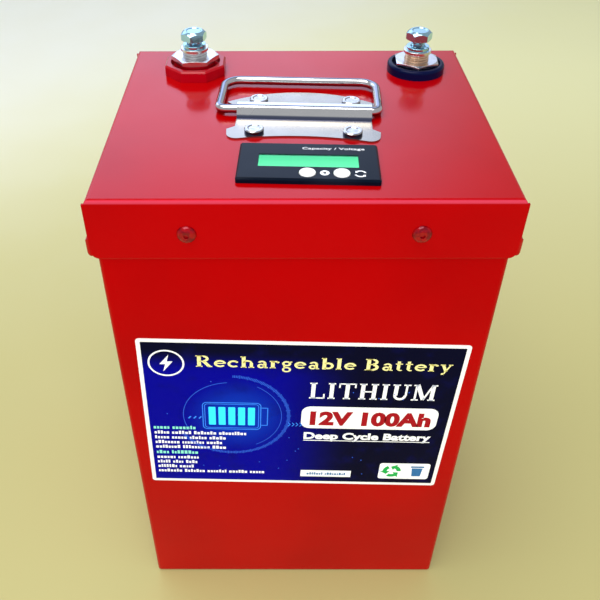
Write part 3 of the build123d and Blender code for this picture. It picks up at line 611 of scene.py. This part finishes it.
class Print:
    """Thin layers of ink on one flat surface of the battery, with shapes in millimetres on its axes."""

    def __init__(self, place, thickness, slot):
        self.place = place
        self.thickness = thickness
        self.slot = slot

    def settle(self, name, mesh, material):
        """Puts a finished mesh on the surface. It rides on the battery."""
        mesh.materials.append(material)
        piece = bpy.data.objects.new(name, mesh)
        bpy.context.scene.collection.objects.link(piece)
        piece.matrix_world = self.place
        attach(piece, "battery")

    def draw(self, name, shapes, layer, material):
        """Outlines as one piece of thin prisms, on the given layer."""
        mesh = bpy.data.meshes.new(name)
        build = bmesh.new()
        face = layer * self.thickness
        for outline in shapes:
            low = [build.verts.new((u * MM, v * MM, (face - self.thickness) * MM)) for u, v in outline]
            top = [build.verts.new((u * MM, v * MM, face * MM)) for u, v in outline]
            build.faces.new(top)
            build.faces.new(low[::-1])
            for i in range(len(outline)):
                j = (i + 1) % len(outline)
                build.faces.new((low[i], low[j], top[j], top[i]))
        bmesh.ops.recalc_face_normals(build, faces=build.faces)
        build.to_mesh(mesh)
        build.free()
        self.settle(name, mesh, material)

    def write(self, name, words, line, bold, layer, material):
        """Words as one piece, on a line given as left, baseline, right and height."""
        left, baseline, right, height = line
        mesh = word_mesh(words, bold)
        mesh.name = name
        start = min(vertex.co.x for vertex in mesh.vertices)
        end = max(vertex.co.x for vertex in mesh.vertices)
        stretch = (right - left) / (end - start) * MM
        rise = height / max(vertex.co.y for vertex in mesh.vertices) * MM
        for vertex in mesh.vertices:
            vertex.co.x = left * MM + (vertex.co.x - start) * stretch
            vertex.co.y = baseline * MM + vertex.co.y * rise
            vertex.co.z = ((layer - 0.5) * self.thickness + vertex.co.z * self.thickness) * MM
        self.settle(name, mesh, material)


# ---------------------------------------------------------------- printed label

def label_place():
    """The label's own axes: across, up and out of its face."""
    low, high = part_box("front_label")
    middle = (low + high) / 2
    across = Vector((math.cos(LABEL_TILT), 0.0, -math.sin(LABEL_TILT)))
    up = Vector((math.sin(LABEL_TILT), 0.0, math.cos(LABEL_TILT)))
    out = Vector((0.0, -1.0, 0.0))
    place = Matrix((across, up, out)).transposed().to_4x4()
    place.translation = (middle.x, low.y, middle.z)
    return place


def print_mark(label, white):
    """Round mark with a plain lightning stroke."""
    mark_u, mark_v = MARK
    label.draw("label_mark_ring", ring(mark_u, mark_v, 9.3, 1.0), 2, white)
    stroke = [(1.6, 6.2), (-3.6, -0.8), (-0.5, -0.8), (-1.8, -6.2), (3.6, 1.3), (0.5, 1.3)]
    label.draw("label_mark_bolt", [[(mark_u + u, mark_v + v) for u, v in stroke]], 2, white)


def print_words(label, white):
    """The heading, the cell's metal, the rating and the kind of battery."""
    yellow = ink("ink_yellow", (0.86, 0.82, 0.36), 0.12)
    red = ink("ink_red", (0.36, 0.002, 0.012))
    label.draw("label_heading", serif_line("Rechargeable Battery", HEADING_LINE), 2, yellow)
    label.draw("label_chemistry", serif_line("LITHIUM", CHEMISTRY_LINE), 2, white)
    label.draw("label_pill", [rounded(40.5, 1.6, 78, 18.6, 5.2)], 2, white)
    label.write("label_rating", "12V 100Ah", RATING_LINE, 0.055, 3, red)
    label.write("label_kind", "Deep Cycle Battery", KIND_LINE, 0.04, 2, white)
    left, baseline, right, _ = KIND_LINE
    rule = baseline - 1.5
    label.draw("label_kind_rule", [bar(left, rule, right, rule, 0.6)], 2, white)


def print_picture(label, glow):
    """Battery picture with five charge bars."""
    cyan = ink("ink_cyan", (0.03, 0.62, 0.95), 0.45)
    u, v = PICTURE
    outline = frame_line(u, v, 33.0, 22.6, 2.6, 0.5)
    outline += frame_line(u, v, 30.6, 20.2, 1.8, 0.4)
    outline += [bar(u + 16.9, v + 7.4, u + 20.6, v + 7.4, 0.5),
                bar(u + 20.4, v + 7.6, u + 20.4, v - 7.6, 0.5),
                bar(u + 16.9, v - 7.4, u + 20.6, v - 7.4, 0.5)]
    label.draw("label_cell_outline", outline, 2, glow)
    bars = [rounded(u - 11.2 + 5.6 * n, v, 4.0, 15.2, 0.5) for n in range(5)]
    label.draw("label_cell_bars", bars, 2, cyan)


def print_rings(label, glow):
    """Rings, ticks, chevrons and dots round the picture."""
    faint = ink("ink_faint", (0.02, 0.1, 0.6), 0.3)
    u, v = PICTURE
    ticks = []
    for n in range(150):
        angle = math.radians(-150 + 1.6 * n)
        inner, outer = (31.6, 33.4) if n % 5 else (31.2, 33.8)
        ticks.append(bar(u + inner * math.cos(angle), v + inner * math.sin(angle),
                         u + outer * math.cos(angle), v + outer * math.sin(angle), 0.45))
    label.draw("label_ticks", ticks, 2, faint)
    rings = [arc_band(u, v, 27.6, 0.35, 95, 205), arc_band(u, v, 28.4, 0.3, -60, 60)]
    label.draw("label_rings", rings, 2, faint)
    chevrons = []
    for n in range(4):
        tip = -4.5 + 2.2 * n
        chevrons += [bar(tip - 1.2, -3.4, tip, -4.9, 0.45), bar(tip, -4.9, tip - 1.2, -6.4, 0.45)]
    chevrons += [bar(-63.0 + 3.0 * n, -1.2, -61.6 + 3.0 * n, 0.6, 0.8) for n in range(3)]
    label.draw("label_chevrons", chevrons, 2, glow)
    scatter = random.Random(4)
    dots = [rounded(scatter.uniform(-82, 70), scatter.uniform(-54, 36), 0.7, 0.7, 0.3) for _ in range(26)]
    label.draw("label_dots", dots, 2, faint)


def print_small_rows(label, white):
    """Small print as plain blocks, in two groups that each have a heading."""
    mint = ink("ink_mint", (0.25, 0.8, 0.62), 0.1)
    left = SMALL_PRINT_LEFT
    heads = small_print(left - 0.2, -10.8, 22, 2.9, 1) + small_print(left, -33.4, 12, 2.9, 2)
    label.draw("label_small_heads", heads, 2, mint)
    baselines = (-15.2, -19.6, -23.9, -28.2, -38.0, -42.4, -46.8, -51.2)
    lengths = (38, 36, 34, 41, 24, 23, 18, 66)
    body = []
    for seed, (v, length) in enumerate(zip(baselines, lengths), start=3):
        body += small_print(left, v, length, 2.7, seed)
    label.draw("label_small_rows", body, 2, white)


def print_boxes(label, white):
    """Maker's box, left blank but for blocks, and the box with the disposal marks."""
    green = ink("ink_green", (0.01, 0.42, 0.08))
    blue = ink("ink_blue", (0.03, 0.16, 0.4))
    label.draw("label_maker_box", [rounded(19.2, -50.4, 31, 6.2, 0.3)], 2, white)
    label.draw("label_maker_rows", small_print(7.5, -51.6, 20, 2.2, 11), 3, blue)
    label.draw("label_disposal_box", [rounded(67.2, -46.6, 31, 15.2, 1.8)], 2, white)
    arrows = []
    for start in (0, 120, 240):
        arrows += arc_arrow(*ARROW_RING, 4.3, 2.6, start, start + 62, 40)
    label.draw("label_disposal_arrows", arrows, 3, green)
    u, v = BIN
    body = [(u - 3.4, v + 3.0), (u - 2.6, v - 4.8), (u + 2.6, v - 4.8), (u + 3.4, v + 3.0)]
    label.draw("label_disposal_bin", [body, rounded(u, v + 4.3, 8.2, 1.4, 0.5)], 3, blue)


def print_label():
    """The label's field, words, picture and marks. All of its wording is generic."""
    label = Print(label_place(), INK, "printed_label")
    white = ink("ink_white", (0.9, 0.92, 0.95), 0.12)
    glow = ink("ink_glow", (0.03, 0.22, 0.85), 0.25)
    field = rounded(0, 0, LABEL_WIDTH - 2 * LABEL_BORDER, LABEL_HEIGHT - 2 * LABEL_BORDER, 0.4)
    label.draw("label_field", [field], 1, printed_field())
    print_mark(label, white)
    print_words(label, white)
    print_picture(label, glow)
    print_rings(label, glow)
    print_small_rows(label, white)
    print_boxes(label, white)


# ---------------------------------------------------------------- display print

def display_place():
    """The display's own axes: across, towards the back, and up out of its face."""
    low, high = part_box("display_bezel")
    middle = (low + high) / 2
    place = Matrix.Rotation(DISPLAY_TURN, 4, "Z")
    place.translation = (middle.x, middle.y, high.z)
    return place


def print_display():
    """The caption and the two white symbols beside the buttons."""
    face = Print(display_place(), PRINT, "button_white")
    white = ink("display_ink", (0.9, 0.92, 0.95), 0.15)
    face.write("display_caption", "Capacity / Voltage", CAPTION_LINE, 0.0, 1, white)
    symbols = ring(*TARGET, 1.5, 1.4)
    for start in (20, 200):
        symbols += arc_arrow(*CYCLE, 2.5, 0.8, start, start + 110, 32)
    face.draw("display_symbols", symbols, 1, white)


# ---------------------------------------------------------------- stage

def soft_light(name, place, aim, width, height, power, color):
    """A large soft rectangle of light, which the camera doesn't see directly."""
    light = bpy.data.lights.new(name, "AREA")
    light.shape = "RECTANGLE"
    light.size = width
    light.size_y = height
    light.energy = power
    light.color = color
    lamp = bpy.data.objects.new(name, light)
    bpy.context.scene.collection.objects.link(lamp)
    lamp.location = place
    lamp.rotation_mode = "QUATERNION"
    lamp.rotation_quaternion = (Vector(aim) - Vector(place)).to_track_quat("-Z", "Y")
    lamp.visible_camera = False
    return lamp


def surroundings():
    """A dim pale room, with a wide bright opening low behind the battery that fades to the right."""
    world = bpy.data.worlds.new("studio")
    world.use_nodes = True
    sky = Nodes(world.node_tree, "Generated")
    height = sky.along("Z")
    opening = sky.maths("MULTIPLY", sky.band(height, 0.1, 0.45), sky.band(height, 0.85, 0.55))
    behind = sky.maths("MULTIPLY", opening, sky.band(sky.along("Y"), 0.2, 0.7))
    left = sky.maths("MULTIPLY", behind, sky.band(sky.along("X"), 0.36, 0.0))
    light = sky.blend(left, (0.42, 0.43, 0.45), (1.6, 1.95, 2.7))
    sky.links.new(light, sky.nodes["Background"].inputs["Color"])
    bpy.context.scene.world = world


def light_the_stage():
    """Plain soft studio light on a plain pale floor."""
    surroundings()
    soft_light("overhead", place=(-0.3, -0.2, 1.7), aim=(0.0, 0.0, 0.2), width=1.2, height=1.2,
               power=19.0, color=(1.0, 0.99, 0.96))
    fill = soft_light("front_fill", place=(0.0, -1.8, 0.8), aim=(0.0, 0.0, 0.25), width=2.1, height=0.85,
                      power=28.0, color=(1.0, 0.98, 0.96))
    fill.visible_glossy = False  # its mirror image would turn the lid white from behind
    bpy.context.scene.view_settings.view_transform = "Standard"


def lay_floor():
    """A wide pale floor with a faint satin sheen, yellowish in front, with painted light making it paler
    towards the back and near white at the back left.
    """
    reach = 4.0
    mesh = bpy.data.meshes.new("floor")
    mesh.from_pydata([(-reach, -reach, 0), (reach, -reach, 0), (reach, reach, 0), (-reach, reach, 0)],
                     [], [(0, 1, 2, 3)])
    floor = bpy.data.objects.new("floor", mesh)
    bpy.context.scene.collection.objects.link(floor)
    pale = Surface("pale_floor", (0.5, 0.46, 0.19), 0.5, Specular_IOR_Level=0.25)
    back = pale.along("Y")
    # Painted light: paler towards the back, and near white at the back left.
    pale.color_by(back, (0.86, 0.84, 0.46), 0.0, 0.9)
    back_left = pale.maths("SUBTRACT", back, pale.along("X"))
    pale.color_by(back_left, (0.93, 0.93, 0.84), 0.55, 1.35, 0.75)
    pale.relief(pale.noise(40, 3), 0.02 * MM)
    pale.roughness_by(pale.noise(12, 4), 0.42, 0.55)
    mesh.materials.append(pale.material)


def stand_camera():
    """The camera at the viewing angle, with a slight sideways shift."""
    forward = Vector((math.sin(CAMERA_YAW) * math.cos(CAMERA_DOWN),
                      math.cos(CAMERA_YAW) * math.cos(CAMERA_DOWN),
                      -math.sin(CAMERA_DOWN)))
    level = Vector((math.cos(CAMERA_YAW), -math.sin(CAMERA_YAW), 0.0))
    lower = forward.cross(level)
    right = math.cos(CAMERA_ROLL) * level + math.sin(CAMERA_ROLL) * lower
    up = math.sin(CAMERA_ROLL) * level - math.cos(CAMERA_ROLL) * lower
    lens = bpy.data.cameras.new("camera")
    lens.lens = CAMERA_LENS
    lens.shift_x = CAMERA_SHIFT
    lens.clip_start = 0.02
    lens.clip_end = 20.0
    camera = bpy.data.objects.new("camera", lens)
    bpy.context.scene.collection.objects.link(camera)
    turn = Matrix((right, up, -forward)).transposed().to_4x4()
    camera.matrix_world = Matrix.Translation(CAMERA_PLACE) @ turn
    bpy.context.scene.camera = camera


stand_camera()
lay_floor()
light_the_stage()
finish_nodes()
print_label()
print_display()
